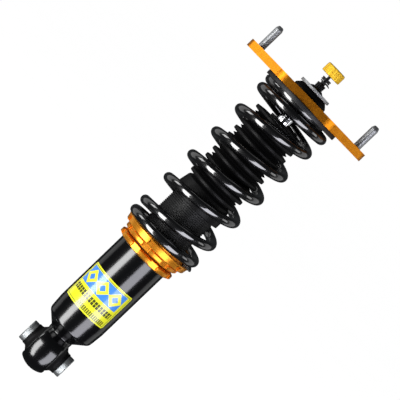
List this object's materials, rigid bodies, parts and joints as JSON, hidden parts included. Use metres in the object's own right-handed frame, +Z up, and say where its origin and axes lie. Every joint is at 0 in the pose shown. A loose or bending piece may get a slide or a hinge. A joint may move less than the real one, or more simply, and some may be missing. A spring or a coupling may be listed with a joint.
{
  "type": "coilover",
  "caption": "Height-adjustable coilover damper with a coil spring, threaded body, bellows boot, lower eye bracket and a two-stud top mount with a damping knob.",
  "frame": {"origin": "Centre of the lower eye's bore.", "axes": "+Z runs up the damper's axis to the knob, +X runs along the eye's bore and the line of the two studs, and -Y is the side with the label."},
  "size_m": [0.1542, 0.09, 0.4133],
  "materials": {
    "gloss_black_paint": "gloss black powder coat over steel",
    "spring_paint": "gloss black powder coat over spring steel",
    "label_vinyl": "printed vinyl label with a yellow and blue pattern and no lettering",
    "bush_rubber": "moulded black rubber",
    "boot_rubber": "matt moulded black rubber bellows",
    "seal_rubber": "nitrile seal rubber",
    "gold_anodised": "gold anodised machined aluminium",
    "knob_gold": "yellow-gold anodised aluminium, satin",
    "black_tube_coat": "black coated steel tube with a rolled thread",
    "black_oxide": "black oxide steel",
    "satin_black": "satin black coated steel",
    "zinc_plate": "bright zinc plated steel",
    "chrome_rod": "ground and hard-chromed steel",
    "machined_steel": "machined steel",
    "machined_alloy": "machined aluminium alloy",
    "brass_screw": "turned brass",
    "bump_foam": "microcellular polyurethane foam",
    "band_plastic": "bronze-filled PTFE"
  },
  "bodies": {
    "bracket": {"lower_bracket": "gloss_black_paint", "sleeve_label": "label_vinyl", "eye_bush_rubber": "bush_rubber"},
    "bush_sleeve": {"eye_bush_sleeve": "zinc_plate"},
    "bracket_ring": {"bracket_lock_ring": "gold_anodised"},
    "tube": {"damper_tube": "black_tube_coat", "tube_plug": "machined_alloy", "plug_o_ring": "seal_rubber", "gas_fill_screw": "brass_screw", "gland_nut": "black_oxide", "rod_guide": "machined_alloy", "guide_o_ring": "seal_rubber", "rod_seal": "seal_rubber", "dust_wiper": "seal_rubber", "coil_spring": "spring_paint", "dust_boot": "boot_rubber"},
    "perch_ring": {"perch_lock_ring": "gold_anodised"},
    "perch": {"spring_perch": "gold_anodised"},
    "gas_piston": {"floating_piston": "machined_alloy", "floating_piston_o_ring": "seal_rubber"},
    "band": {"piston_band": "band_plastic"},
    "rod": {"piston": "machined_steel", "compression_shims": "machined_steel", "rebound_shims": "machined_steel", "piston_nut": "machined_steel", "rebound_stop": "bump_foam", "piston_rod": "chrome_rod", "bump_stop": "bump_foam", "bump_stop_washer": "zinc_plate", "rod_snap_ring": "machined_steel", "lower_mount_washer": "zinc_plate", "lower_mount_rubber": "bush_rubber", "mount_inner_sleeve": "machined_steel", "upper_spring_seat": "satin_black", "top_plate": "gold_anodised", "plate_studs": "zinc_plate", "upper_mount_rubber": "bush_rubber", "dished_washer": "zinc_plate", "rod_nut": "black_oxide", "adjuster_stem": "black_oxide", "adjuster_clip": "black_oxide", "adjuster_collar": "black_oxide"},
    "knob": {"adjuster_knob": "knob_gold", "knob_set_screw": "black_oxide", "adjuster_pin": "black_oxide"},
    "needle": {"metering_rod": "machined_alloy"}
  },
  "joints": [
    {"name": "bush_twist", "type": "hinge", "parent": "bracket", "child": "bush_sleeve", "pos_m": [0, 0, 0], "axis": [1, 0, 0], "range_deg": [-18, 18], "stiffness_Nm_per_rad": 55},
    {"name": "bracket_ring_turn", "type": "hinge", "parent": "bracket", "child": "bracket_ring", "pos_m": [0, 0, 0.1353], "axis": [0, 0, 1], "continuous": true},
    {"name": "height_adjust", "type": "slide", "parent": "bracket", "child": "tube", "axis": [0, 0, 1], "range_m": [0, 0.03]},
    {"name": "perch_ring_turn", "type": "hinge", "parent": "tube", "child": "perch_ring", "pos_m": [0, 0, 0.1431], "axis": [0, 0, 1], "continuous": true},
    {"name": "perch_turn", "type": "hinge", "parent": "tube", "child": "perch", "pos_m": [0, 0, 0.15], "axis": [0, 0, 1], "continuous": true},
    {"name": "gas_piston_slide", "type": "slide", "parent": "tube", "child": "gas_piston", "axis": [0, 0, 1], "range_m": [-0.0058, 0.0002]},
    {"name": "damper_stroke", "type": "slide", "parent": "tube", "child": "band", "axis": [0, 0, 1], "range_m": [-0.055, 0], "stiffness_N_per_m": 39300, "springref_m": 0.006, "deforming": ["coil_spring", "dust_boot", "bump_stop"]},
    {"name": "rod_swivel", "type": "hinge", "parent": "band", "child": "rod", "pos_m": [0, 0, 0.3], "axis": [0, 0, 1], "continuous": true},
    {"name": "knob_turn", "type": "hinge", "parent": "rod", "child": "knob", "pos_m": [0, 0, 0.384], "axis": [0, 0, 1], "range_deg": [-290, 290]},
    {"name": "needle_lift", "type": "slide", "parent": "rod", "child": "needle", "axis": [0, 0, 1], "range_m": [-0.0004, 0.0004]}
  ],
  "couplings": [
    {"joint": "gas_piston_slide", "follows": "damper_stroke", "ratio": 0.10124},
    {"joint": "knob_turn", "follows": "needle_lift", "rad_per_m": 12566}
  ]
}
